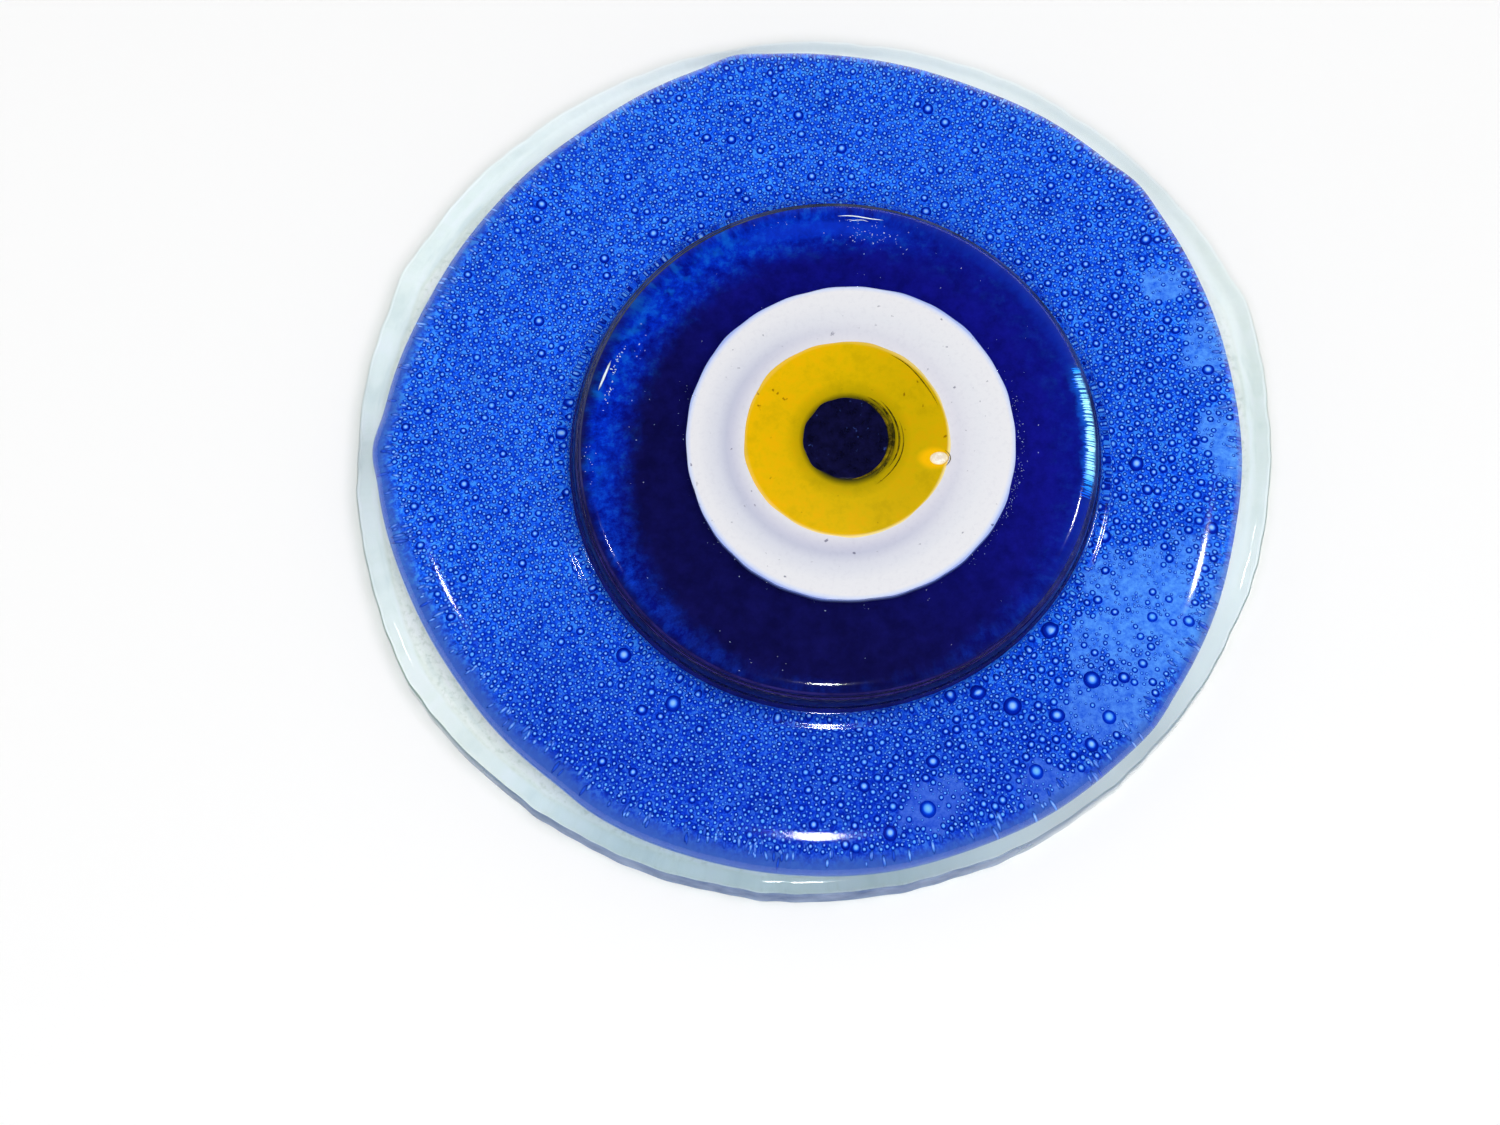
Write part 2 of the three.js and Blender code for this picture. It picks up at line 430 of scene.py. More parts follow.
def lower_edge():
    """The clear disc's lowest edge, matt, and mottled dark grey-blue towards its near side."""
    n = Nodes("lower_edge")
    dark_mottle = n.ramp(n.noise(260.0, 5.0, 0.7), [
        (0.40, (0.11, 0.13, 0.28)), (0.5, (0.36, 0.42, 0.60)), (0.60, (0.82, 0.89, 0.95)),
    ])
    near = n.smooth(n.along((-0.5, -0.87)), 0.0, 38 * MM)
    return n.matt_surface(n.blend(near, (0.93, 0.97, 0.94), dark_mottle), 0.7)


def painted_wall_shade(n):
    """Painted shade: a grey-blue matt coat on the wall of the clear disc, for the dark surroundings it
    mirrors, thickest on its near side.
    """
    near = n.smooth(n.along((-0.15, -0.99)), 30 * MM, 48 * MM, 0.0, 0.8)
    colour = n.ramp(n.noise(240.0, 5.0, 0.6), [(0.3, (0.12, 0.18, 0.38)), (0.7, (0.35, 0.44, 0.68))])
    return near, colour


def clear_base():
    insets = [(5 - 0.25 * k) * MM for k in range(18)]  # how far in the rings on the lower face lie
    rings = [base.ring(-inset, UNDERSIDE) for inset in insets]
    lower = quarter_round(UNDERSIDE, BASE_LOWER_ROUND[0], -BASE_LOWER_ROUND[1], 6)[::-1]
    upper = quarter_round(BASE_TOP, *BASE_UPPER_ROUND, 10)
    rings += [base.ring(*p) for p in lower + upper]
    rings.append(base.ring(-BASE_UPPER_ROUND[0] - 0.1 * MM, BASE_TOP))
    rings.append(sheet.ring(-SHEET_LOWER_ROUND[0], BASE_TOP))
    clear, frosted, fused, shelf_edge, wall = range(5)
    bands = [frosted] * (len(insets) + 5) + [shelf_edge] * 2 + [wall] * 4
    bands += [clear] * (len(rings) - len(bands)) + [fused]
    recipe = ((0.98, 1.0, 0.99), (0.60, 0.88, 0.80), 14.0)
    # The wall's glass carries a painted shade coat.
    materials = [glass("clear_glass", *recipe), frosted_underside(), contact("fused_base_face"),
                 lower_edge(), glass("cut_wall_glass", *recipe, coat=painted_wall_shade)]
    piece = lofted("base_glass", rings, materials, bands)
    shares = [inset / (4 * MM) for inset in insets]
    shares += [0.0] * (len(rings) - len(shares))
    write_attribute(piece, "inset", np.repeat(np.clip(shares, 0, 1), SIDES))
    return piece


def blue_sheet():
    rings = [sheet.ring(-SHEET_LOWER_ROUND[0] - 0.1 * MM, BASE_TOP)]
    lower = quarter_round(BASE_TOP, SHEET_LOWER_ROUND[0], -SHEET_LOWER_ROUND[1], 6)[::-1]
    upper = quarter_round(SHEET_TOP, *SHEET_UPPER_ROUND, 24)
    rings += [sheet.ring(*p) for p in lower + upper]
    rings.append(sheet.ring(-SHEET_UPPER_ROUND[0] - 0.2 * MM, SHEET_TOP))
    spread = np.interp(np.cos(AROUND - math.radians(250)), [-0.6, 0.4], [0.5, 1.0])
    rings += [bead.ring(out * MM * spread, SHEET_TOP + rise * MM) for out, rise in eased(FILLET, 4)]
    outside = len(rings)
    rings.append(bead.ring(-0.02 * MM, SHEET_TOP + BEAD_LOWER_ROUND[1]))
    lower = quarter_round(SHEET_TOP, BEAD_LOWER_ROUND[0], -BEAD_LOWER_ROUND[1], 6)
    rings += [bead.ring(offset - 0.02 * MM, z) for offset, z in lower[1:]]
    clear, fused = range(2)
    bands = [fused] + [clear] * (outside - 1) + [fused] * (len(rings) - outside + 1)
    blue = glass("blue_glass", (0.75, 0.86, 1.0), (0.05, 0.26, 1.0), 60.0)
    return lofted("blue_sheet", rings, [blue, contact("fused_sheet_face")], bands)


def cobalt_glass():
    rings = [bead.ring(-BEAD_LOWER_ROUND[0] - 0.1 * MM, SHEET_TOP)]
    lower = quarter_round(SHEET_TOP, BEAD_LOWER_ROUND[0], -BEAD_LOWER_ROUND[1], 6)[::-1]
    foot = len(lower)
    upper = quarter_round(BEAD_SHOULDER, *BEAD_UPPER_ROUND, 20)
    rings += [bead.ring(*p) for p in lower + upper]
    rings.append(bead.ring(-BEAD_UPPER_ROUND[0] - 1.5 * MM, bead_height))
    rings.append(white.ring(0.6 * MM, bead_height))
    rings.append(white.ring(0.06 * MM, bead_height))
    rings.append(white.ring(0.02 * MM, bead_height))
    rings.append(white.ring(0.02 * MM, WHITE_FLOOR - 0.02 * MM))
    clear, fused, wall = range(3)
    bands = [fused] * (foot + 1) + [wall] * 10
    bands += [clear] * (len(rings) - len(bands) - 1) + [fused] * 2
    recipe = ((0.66, 0.74, 0.97), (0.10, 0.20, 0.80), 70.0)
    materials = [glass("cobalt_glass", *recipe), contact("fused_bead_face"),
                 glass("cobalt_wall_glass", *recipe, roughness=0.3)]
    return lofted("bead_glass", rings, materials, bands)


# ---- the layer of trapped bubbles ----
# Middles and sizes, in mm, of the patches where the blue glass stayed nearly free of bubbles.
CLEAR_PATCHES = [
    (37.0, -16.9, 8.0, 6.5), (32.2, -22.4, 5.5, 5.0), (31.7, -28.9, 5.0, 4.0), (24.4, -37.2, 4.5, 2.6),
    (42.5, 11.1, 2.6, 5.5), (43.4, 0.5, 2.2, 5.0), (12.4, -39.5, 3.4, 3.2), (38.5, 18.6, 2.4, 2.4),
]
# Middles and radii, in mm, of the largest bubbles.
LARGE_BUBBLES = [
    (25.1, -20.8, 0.95), (21.0, -29.2, 1.0), (29.5, -26.3, 0.92), (17.3, -27.6, 0.9),
    (-20.3, -23.6, 0.85), (-15.0, -28.9, 0.85), (31.1, -30.2, 0.72), (25.7, -30.2, 0.8),
    (29.1, -33.1, 0.7), (23.3, -36.1, 0.75), (11.9, -40.2, 0.85), (12.5, -35.2, 0.72),
    (7.9, -42.6, 0.75), (42.7, 8.6, 0.62), (34.9, -2.2, 0.8), (31.2, -10.4, 0.75),
    (-18.3, -29.6, 0.62), (14.6, 37.9, 0.6), (-1.8, 38.8, 0.6),
]
CORE_CENTRE = (bead.centre.x + 0.5 * MM, bead.centre.y - 2.0 * MM)


def clear_share(x, y):
    """Below 0 where bubbles crowd, up to 1 in the middle of a patch of clear blue glass."""
    share = np.full(np.shape(x), -9.0)
    for px, py, wide, high in CLEAR_PATCHES:
        share = np.maximum(share, 1 - ((x / MM - px) / wide) ** 2 - ((y / MM - py) / high) ** 2)
    tear = np.array([noise.fractal((a / (3 * MM), b / (3 * MM), 0.5), 0.6, 2.0, 4) for a, b in zip(x, y)])
    return share + 0.9 * tear


def border_width(angle):
    """How wide the border without bubbles is at an angle about the sheet's middle."""
    return (1.7 + 1.1 * np.cos(angle - math.radians(240))) * MM


def bed_material():
    """Blue light between the bubbles: streaky and cloudy, brighter in the clear patches."""
    n = Nodes("bubble_bed")
    froth = n.ramp(n.noise(2300.0, 3.0, 0.65), [
        (0.36, (0.004, 0.06, 0.60)), (0.49, (0.016, 0.18, 0.94)), (0.61, (0.10, 0.50, 1.0)),
    ])
    cloud = n.ramp(n.noise(260.0, 4.0, 0.6), [(0.3, (0.76, 0.76, 0.84)), (0.7, (1.2, 1.2, 1.1))])
    crowded = n.times(froth, cloud)
    sand = n.ramp(n.noise(1300.0, 6.0, 0.8), [(0.35, (0.035, 0.20, 0.82)), (0.65, (0.22, 0.62, 1.0))])
    clear = n.smooth(n.attribute("clear"), -0.1, 0.5)
    colour = n.blend(clear, crowded, sand)
    ragged = n.maths("MULTIPLY_ADD", n.noise(500.0, 4.0, 0.7), -0.8, 0.4)
    far = n.smooth(n.along((0.1, 1)), -40 * MM, -14 * MM)
    shade = n.ramp(far, [(0.0, (0.60, 0.46, 0.73)), (1.0, (1, 1, 1))])
    colour = n.times(colour, shade)
    border = n.smooth(n.maths("ADD", n.attribute("edge"), ragged), 0.55, 1.2, 0.88, 0.0)
    colour = n.blend(border, colour, (0.072, 0.165, 0.465))
    return n.matt_surface(colour)


def bed():
    """A thin disc under the blue sheet, which the bubbles lie on."""
    top = BASE_TOP + BED_LIFT
    edge = -SHEET_LOWER_ROUND[0] + 0.1 * MM
    shares = np.linspace(1.0, 0.3, BED_RINGS)
    rings = [sheet.ring(edge, top - 0.03 * MM)] + [sheet.ring(edge * s, top, s) for s in shares]
    piece = lofted("bubble_bed", rings, [bed_material()], [0] * (len(rings) + 1))
    points = np.concatenate(rings)
    write_attribute(piece, "clear", clear_share(points[:, 0], points[:, 1]))
    margin, angle = sheet.margin(points[:, 0], points[:, 1])
    write_attribute(piece, "edge", margin / border_width(angle))
    return piece


def bubble_skin():
    """One trapped bubble: a bright middle of painted light, a mid-blue shoulder and a navy rim of painted
    shade.
    """
    n = Nodes("bubble_skin")
    rim = n.attribute("rim")
    strong = n.ramp(rim, [
        (0.0, (0.75, 0.96, 1.0)), (0.24, (0.48, 0.82, 1.0)), (0.42, (0.05, 0.28, 1.0)),
        (0.58, (0.001, 0.035, 0.46)), (0.88, (0.001, 0.022, 0.38)), (1.0, (0.004, 0.10, 0.74)),
    ])
    faint = n.ramp(rim, [
        (0.0, (0.32, 0.82, 1.0)), (0.42, (0.18, 0.60, 1.0)), (0.60, (0.008, 0.13, 0.84)),
        (0.80, (0.001, 0.038, 0.54)), (1.0, (0.006, 0.13, 0.88)),
    ])
    return n.matt_surface(n.blend(n.attribute("faint"), strong, faint), 0.5)


def streak_skin():
    """A slender bubble at the border: painted light along its back, soft blue at its sides."""
    n = Nodes("streak_skin")
    rim = n.attribute("rim")
    pale = n.ramp(rim, [(0.0, (0.70, 0.95, 1.0)), (0.5, (0.18, 0.48, 1.0)), (1.0, (0.02, 0.12, 0.62))])
    dark = n.ramp(rim, [(0.0, (0.03, 0.14, 0.72)), (1.0, (0.02, 0.09, 0.55))])
    return n.matt_surface(n.blend(n.attribute("faint"), pale, dark), 0.5)


class Scatter:
    """Places discs that keep clear of each other, with a grid to find neighbours."""

    def __init__(self):
        self.grid = {}

    def put(self, x, y, r, gap):
        i, j = int(x // SCATTER_CELL), int(y // SCATTER_CELL)
        for di in (-1, 0, 1):
            for dj in (-1, 0, 1):
                for ox, oy, other in self.grid.get((i + di, j + dj), ()):
                    if (x - ox) ** 2 + (y - oy) ** 2 < (r + other + gap) ** 2:
                        return False
        self.grid.setdefault((i, j), []).append((x, y, r))
        return True


def coarse(x, y):
    """From 0 on the left, where the bubbles are fine and even, to 1 on the lower right."""
    return np.clip((x - 0.35 * y - 8 * MM) / (26 * MM), 0, 1)


def throw(scatter, tries, smallest, largest, lean, gap, crowd):
    """Throws discs at the field and keeps those that fit.  A higher lean makes large ones rarer.

    crowd gives the share that is wanted where the glass is so clear and the mix so coarse."""
    span = 48 * MM  # just past the sheet's edge
    x, y = rng.uniform(-span, span, (2, tries))
    r = (smallest + (largest - smallest) * rng.uniform(0, 1, tries) ** lean) * MM
    margin, angle = sheet.margin(x, y)
    wanted = rng.uniform(0, 1, tries) < crowd(clear_share(x, y), coarse(x, y))
    outside_bead = bead.margin(x, y)[0] < 0.3 * MM - r
    kept = wanted & (margin > border_width(angle) + r) & outside_bead
    return [(a, b, c) for a, b, c in zip(x[kept], y[kept], r[kept]) if scatter.put(a, b, c, gap * MM)]


def round_bubbles(discs, faint_share):
    """Rows of x, y, radius, length over width, turn and faintness for nearly round bubbles."""
    count = len(discs)
    stretch = 1 + 0.12 * rng.uniform(0, 1, count) ** 2
    turn = rng.uniform(0, math.pi, count)
    faint = np.clip(rng.uniform(-0.4, 0.7, count) + faint_share, 0, 1)
    patch = np.clip(clear_share(np.array([d[0] for d in discs]), np.array([d[1] for d in discs])), 0, 1)
    return np.column_stack([np.array(discs), stretch, turn, np.maximum(faint, patch * 0.8)])


def domes(name, rows, sides, levels, flatness, height, material):
    """Low domes with a rim attribute that runs from 0 at the top to 1 at the edge."""
    angle = np.arange(sides) * TAU / sides
    shares = 1.0 - np.arange(levels) / levels
    unit = [(s * math.cos(a), s * math.sin(a), math.sqrt(1 - s * s)) for s in shares for a in angle]
    unit = np.array([*unit, (0.0, 0.0, 1.0)])
    rim = np.append(np.repeat(shares, sides), 0.0)
    top = levels * sides
    faces = [tuple(range(sides - 1, -1, -1))]
    for k in range(levels - 1):
        faces += band(k * sides, (k + 1) * sides, sides)
    last = (levels - 1) * sides
    faces += [(last + i, last + (i + 1) % sides, top) for i in range(sides)]
    points, all_faces = [], []
    for k, (x, y, r, stretch, turn, _) in enumerate(rows):
        long = unit[:, 0] * r * stretch
        short = unit[:, 1] * r
        c, s = math.cos(turn), math.sin(turn)
        foot = height(x, y) if callable(height) else height
        rise = foot + unit[:, 2] * r * flatness
        points.append(np.column_stack([x + c * long - s * short, y + s * long + c * short, rise]))
        start = k * len(unit)
        all_faces += [tuple(v + start for v in face) for face in faces]
    piece = new_piece(name, np.concatenate(points), all_faces, [material])
    write_attribute(piece, "rim", np.tile(rim, len(rows)))
    write_attribute(piece, "faint", np.repeat(np.asarray(rows)[:, 5], len(unit)))
    return piece


def edge_streaks():
    """Slender bubbles that point outwards along the ragged border of the bubble layer."""
    angle = rng.uniform(0, TAU, STREAKS)
    inside = border_width(angle) + rng.uniform(-0.9, 0.9, STREAKS) * MM
    x, y = sheet.at(angle, sheet.radius(angle) - np.maximum(inside, 0.7 * MM))
    r = rng.uniform(0.12, 0.22, STREAKS) * MM
    stretch = rng.uniform(1.5, 3.6, STREAKS)
    turn = angle + rng.normal(0, 0.15, STREAKS)
    return np.column_stack([x, y, r, stretch, turn, rng.uniform(-0.1, 1.1, STREAKS).clip(0, 1)])


def bubble_pieces():
    scatter = Scatter()
    large = [(x * MM, y * MM, r * MM) for x, y, r in LARGE_BUBBLES]
    for disc in large:
        scatter.put(*disc, 0.0)
    large += throw(scatter, 400, 0.50, 0.64, 1.5, 0.1,
                   lambda clear, mix: np.where(clear > 0, 0.2, 0.12 + 0.4 * mix))
    middle = throw(scatter, 7000, 0.38, 0.52, 1.5, 0.02,
                   lambda clear, mix: np.clip(1 - 1.8 * clear, 0.06, 1) * (0.12 + 0.7 * mix))
    small = throw(scatter, 16000, 0.30, 0.38, 1.0, 0.0,
                  lambda clear, mix: np.clip(1 - 1.8 * clear, 0.02, 1) * (0.06 + 0.94 * mix))
    small += throw(scatter, 200000, 0.235, 0.32, 1.6, -0.03,
                   lambda clear, mix: np.clip(0.9 - 2.5 * clear, 0.003, 1))
    tiny = throw(scatter, 120000, 0.12, 0.2, 1.0, -0.01,
                 lambda clear, mix: np.clip(0.9 - 0.9 * clear, 0.05, 1))
    skin = bubble_skin()
    height = BASE_TOP + BED_LIFT
    groups = [
        ("bubbles_large", large, -0.3, 24, 6), ("bubbles_middle", middle, -0.1, 12, 4),
        ("bubbles_small", small, 0.4, 7, 2), ("bubbles_tiny", tiny, 0.8, 6, 2),
    ]
    layers = [domes(name, round_bubbles(discs, faint), sides, levels, BUBBLE_FLATNESS, height, skin)
              for name, discs, faint, sides, levels in groups]
    return [*layers, domes("bubble_streaks", edge_streaks(), 8, 2, 0.4, height, streak_skin())]


# ---- inside the cobalt bead ----
def dark_heart(n):
    """Mottled navy, bluer towards the far right."""
    mottle = n.ramp(n.noise(500.0, 5.0, 0.7), [(0.35, (0.7, 0.7, 0.7)), (0.75, (1.3, 1.3, 1.3))])
    side = n.smooth(n.along((0.7, 0.7)), -14 * MM, 18 * MM)
    return n.times(n.blend(side, (0.012, 0.010, 0.09), (0.014, 0.014, 0.30)), mottle)


def thin_glass(n):
    """Cloudy blue where the bead thins out; darker and speckled on its near side, which is painted shade.
    """
    cloud = n.ramp(n.noise(700.0, 5.0, 0.7), [
        (0.36, (0.002, 0.016, 0.42)), (0.52, (0.003, 0.070, 0.85)), (0.68, (0.012, 0.26, 1.0)),
    ])
    speckle = n.ramp(n.noise(700.0, 5.0, 0.8), [
        (0.40, (0.003, 0.012, 0.30)), (0.66, (0.010, 0.11, 0.80)),
    ])
    return n.blend(n.smooth(n.along(NEAR_SIDE), 3 * MM, 23 * MM), cloud, speckle)


def core_material():
    """The dark heart of the cobalt bead, which gives way to cloudy blue and to painted light at the rim:
    a painted glow and painted caustic rays on its right, painted light at its far side and in patches on
    its left, and painted shade on its near left side.
    """
    n = Nodes("bead_core")
    out = n.towards(bead.centre)
    frayed = n.maths("MULTIPLY_ADD", n.noise(900.0, 4.0, 0.7), 1.2 * MM, -0.6 * MM)
    from_middle = n.maths("ADD", n.distance_from(bead.centre), frayed)

    def rim(start, end, low=0.0, high=1.0):
        """Runs from low to high between two distances in from the bead's edge, in mm."""
        return n.smooth(from_middle, BEAD_RADIUS - start * MM, BEAD_RADIUS - end * MM, low, high)

    wobble = n.maths("MULTIPLY_ADD", n.noise(420.0, 5.0, 0.7), 4 * MM, -2 * MM)
    reach = n.maths("ADD", n.distance_from(CORE_CENTRE, (1.0, 0.92)), wobble)
    calm = n.maths("MULTIPLY_ADD", n.lobe(out, 18, 80), -0.85, 1.0)
    thin = n.product(n.smooth(reach, 21.3 * MM, 25.9 * MM), calm)
    colour = n.blend(thin, dark_heart(n), thin_glass(n))

    # Painted glow on the right of the rim.
    glow = n.product(rim(2.6, 0.8), n.lobe(out, 20, 65))
    colour = n.blend(n.product(glow, 0.8), colour, (0.012, 0.08, 0.70))
    # Painted caustic light: bright rays at the right edge of the rim.
    rays = n.ramp(n.noise(150.0, 3.0, 0.8, out), [
        (0.36, (0.005, 0.09, 0.70)), (0.44, (0.02, 0.35, 1.0)), (0.58, (0.12, 0.70, 1.0)),
    ])
    rays = n.blend(rim(1.9, 1.1), (0.02, 0.22, 0.95), rays)
    colour = n.blend(n.product(n.lobe(out, 5, 17), rim(2.2, 1.6)), colour, rays)
    # Painted light at the far side of the rim.
    far_side_light = n.product(rim(4.2, 2.8), n.lobe(out, 93, 24))
    colour = n.blend(n.product(far_side_light, rim(2.4, 1.4, 0.7, 0.1)), colour, (0.015, 0.10, 0.95))
    # Painted light in patches at the left of the rim.
    light_patches = n.smooth(n.noise(330.0, 3.0, 0.6), 0.50, 0.64, 0.0, 0.75)
    left = n.product(rim(4.4, 2.4), n.lobe(out, 150, 45))
    colour = n.blend(n.product(light_patches, left), colour, (0.015, 0.36, 1.0))

    shade = n.product(rim(2.2, 1.3, 0.0, 0.92), n.smooth(n.along((-0.6, -0.8)), -10 * MM, 14 * MM))
    return n.matt_surface(n.blend(shade, colour, (0.008, 0.007, 0.11)))


def core():
    z = SHEET_TOP + 0.25 * MM
    rings = [bead.ring(-0.3 * MM, z), bead.ring(-0.3 * MM, z + 0.05 * MM)]
    return lofted("bead_core", rings, [core_material()], [0, 0, 0])


def creases():
    """Fine folds that the press left round the bead, a little way in from its edge."""
    n = Nodes("bead_crease")
    near = n.smooth(n.along(NEAR_SIDE), -8 * MM, 22 * MM)
    grain = n.ramp(n.noise(300.0, 4.0, 0.7), [(0.35, (0.45, 0.45, 0.45)), (0.65, (1.25, 1.25, 1.25))])
    right = n.smooth(n.along((1, 0)), 8 * MM, 26 * MM)
    tone = n.blend(right, (0.055, 0.068, 0.125), (0.030, 0.050, 0.22))
    # Painted shade: darker on the near side.
    tone = n.blend(near, tone, (0.022, 0.017, 0.14))
    material = n.matt_surface(n.times(tone, grain))
    width, rise = BEAD_UPPER_ROUND
    left = np.clip((np.cos(AROUND - math.radians(190)) + 0.7) / 0.9, 0, 1)
    folds = []
    for k, (offset, radius) in enumerate(CREASES):
        inward = offset * MM * (0.4 + 0.6 * left)
        thick = radius * MM * (0.7 + 0.3 * left)
        height = BEAD_SHOULDER - rise * (1 - np.sin(np.arccos(1 - inward / width)))
        rings = []
        for step in range(8):
            turn = TAU * step / 8
            ring = bead.ring(thick * math.cos(turn) - inward, 0.0)
            ring[:, 2] = height + thick * math.sin(turn)
            rings.append(ring)
        folds.append(looped(f"bead_crease_{k + 1}", rings, material))
    return folds


def foot():
    """Painted shade: a dark ring just under the face of the blue sheet round the bead's foot, reaching
    further out on the near left side.
    """
    n = Nodes("bead_foot_shade")
    tone = n.ramp(n.noise(400.0, 3.0), [(0.3, (0.006, 0.008, 0.10)), (0.7, (0.012, 0.018, 0.20))])
    reach = (0.10 + 0.30 * np.clip(np.cos(AROUND - math.radians(235)), 0, 1)) * MM
    z = SHEET_TOP - 0.5 * MM
    rings = [bead.ring(-0.9 * MM, z), bead.ring(reach, z), bead.ring(reach, z + 0.05 * MM),
             bead.ring(-0.9 * MM, z + 0.05 * MM)]
    return looped("bead_foot_shade", rings, n.matt_surface(tone))


# ---- the eye ----
SEED = (13.25, -3.65)  # mm, the broken seed bubble at the iris's right edge
# Groups of specks round the bead and the white disc: angle and its spread in degrees, how far out from
# the disc's edge and its spread in mm, count, and the largest radius in mm.
BEAD_SPECKS = [
    (162, 4.5, -3.0, 0.2, 36, 0.08), (152, 3.0, -4.6, 0.4, 8, 0.06), (104, 3.0, -2.3, 0.2, 6, 0.05),
    (79, 5.0, -4.1, 0.8, 60, 0.055), (84, 3.0, -2.6, 0.15, 10, 0.05), (184, 3.0, -1.9, 0.4, 14, 0.05),
    (176, 8.0, -7.0, 1.0, 8, 0.05), (250, 30.0, -3.4, 1.0, 12, 0.04), (35, 25.0, -5.5, 1.8, 14, 0.035),
]
WHITE_SPECKS = [
    (-12, 20.0, 0.45, 0.3, 140, 0.035), (150, 40.0, 0.8, 0.5, 20, 0.03), (250, 30.0, 0.6, 0.4, 24, 0.035),
]


def enamel(name, colour_of, roughness=0.12):
    """Opaque pressed glass with a glossy skin."""
    n = Nodes(name)
    body = n.add("ShaderNodeBsdfPrincipled", {
        "Base Color": colour_of(n), "Roughness": roughness, "IOR": 1.5, "Specular IOR Level": 0.3,
    })
    return n.surface(body.outputs[0])


def pits(n, scale, colour):
    """A few pinholes of a colour on white, to multiply with."""
    return n.ramp(n.noise(scale, 2.0), [(0.22, colour), (0.28, (1, 1, 1))])


def white_colour(n):
    across = float(white.samples.mean())
    reach = n.maths("DIVIDE", n.distance_from(white.centre), across)
    disc = n.ramp(reach, [
        (0.60, (0.78, 0.77, 0.81)), (0.80, (0.77, 0.78, 0.82)), (0.965, (0.80, 0.80, 0.83)),
        (0.985, (0.66, 0.72, 0.90)), (1.0, (0.35, 0.45, 0.85)),
    ])
    folded = n.distance_from((white.centre.x - 0.8 * MM, white.centre.y))
    fold = n.ramp(n.maths("DIVIDE", folded, across), [
        (0.60, (0.95, 0.95, 0.97)), (0.68, (0.73, 0.74, 0.85)), (0.71, (0.68, 0.70, 0.82)),
        (0.77, (0.85, 0.86, 0.92)), (0.88, (0.97, 0.97, 0.98)),
    ])
    side = n.smooth(n.along((-0.75, -0.66)), -14 * MM, 6 * MM, 0.35, 1.0)
    ring = n.blend(side, disc, n.times(disc, fold))
    grain = n.ramp(n.noise(1800.0, 3.0, 0.7), [(0.3, (0.93, 0.93, 0.94)), (0.5, (0.98, 0.98, 0.98))])
    ring = n.times(ring, grain)
    return n.times(ring, pits(n, 1300.0, (0.35, 0.35, 0.42)))


def yellow_colour(n):
    shadow = (pupil.centre.x + 0.3 * MM, pupil.centre.y - 0.15 * MM)
    across = float(iris.samples.mean())
    glow = n.ramp(n.maths("DIVIDE", n.distance_from(shadow), across), [
        (0.41, (0.02, 0.02, 0.008)), (0.44, (0.17, 0.13, 0.001)), (0.485, (0.50, 0.34, 0.0)),
        (0.62, (0.72, 0.44, 0.0)), (1.0, (0.78, 0.46, 0.0)),
    ])
    side = n.ramp(n.smooth(n.along((1, 0)), iris.centre.x - 9 * MM, iris.centre.x + 9 * MM), [
        (0.0, (0.98, 0.98, 1.0)), (0.5, (0.90, 0.96, 1.0)), (1.0, (0.76, 0.84, 1.0)),
    ])
    glow = n.times(glow, side)
    mottle = n.ramp(n.noise(420.0, 6.0, 0.75), [
        (0.36, (0.88, 0.90, 1)), (0.5, (1, 1, 1)), (0.66, (1.08, 0.96, 1)),
    ])
    glow = n.times(glow, mottle)
    glow = n.times(glow, pits(n, 1100.0, (0.45, 0.35, 0.2)))
    border = n.smooth(n.maths("DIVIDE", n.distance_from(iris.centre), across), 0.965, 0.995)
    pale = n.smooth(n.along((0.8, -0.6)), -4 * MM, 12 * MM, 0.12, 0.75)
    glow = n.blend(n.product(border, pale), glow, (0.95, 0.80, 0.35))
    from_seed = n.distance_from((SEED[0] * MM - 0.5 * MM, SEED[1] * MM), (0.7, 1.0))
    return n.blend(n.smooth(from_seed, 0.7 * MM, 1.5 * MM, 0.8, 0.0), glow, (0.95, 0.50, 0.0))


def pupil_colour(n):
    dark = n.ramp(n.noise(900.0, 5.0, 0.7), [(0.35, (0.002, 0.002, 0.015)), (0.75, (0.006, 0.006, 0.05))])
    specks = n.ramp(n.noise(1700.0, 2.0), [(0.68, (0, 0, 0)), (0.76, (0.02, 0.04, 0.16))])
    return n.blend(1.0, dark, specks, "ADD")


def inlay(name, outline, floor, proud, colour_of):
    """A pressed disc that follows the dome and stands a hair proud of it, with a soft edge."""
    def height(x, y):
        return bead_height(x, y) + proud

    rings = [outline.ring(-0.01 * MM, floor), outline.ring(0.0, floor + 0.01 * MM)]
    for offset, drop in ((0.0, 0.012), (-0.02, 0.003), (-0.06, 0.0), (-0.3, 0.0)):
        rings.append(outline.ring(offset * MM, lambda x, y, d=drop * MM: height(x, y) - d))
    for share in (0.9, 0.75, 0.6, 0.45, 0.3, 0.15, 0.03):
        rings.append(outline.ring(0.0, height, share))
    return lofted(name, rings, [enamel(name, colour_of)], [0] * (len(rings) + 1))


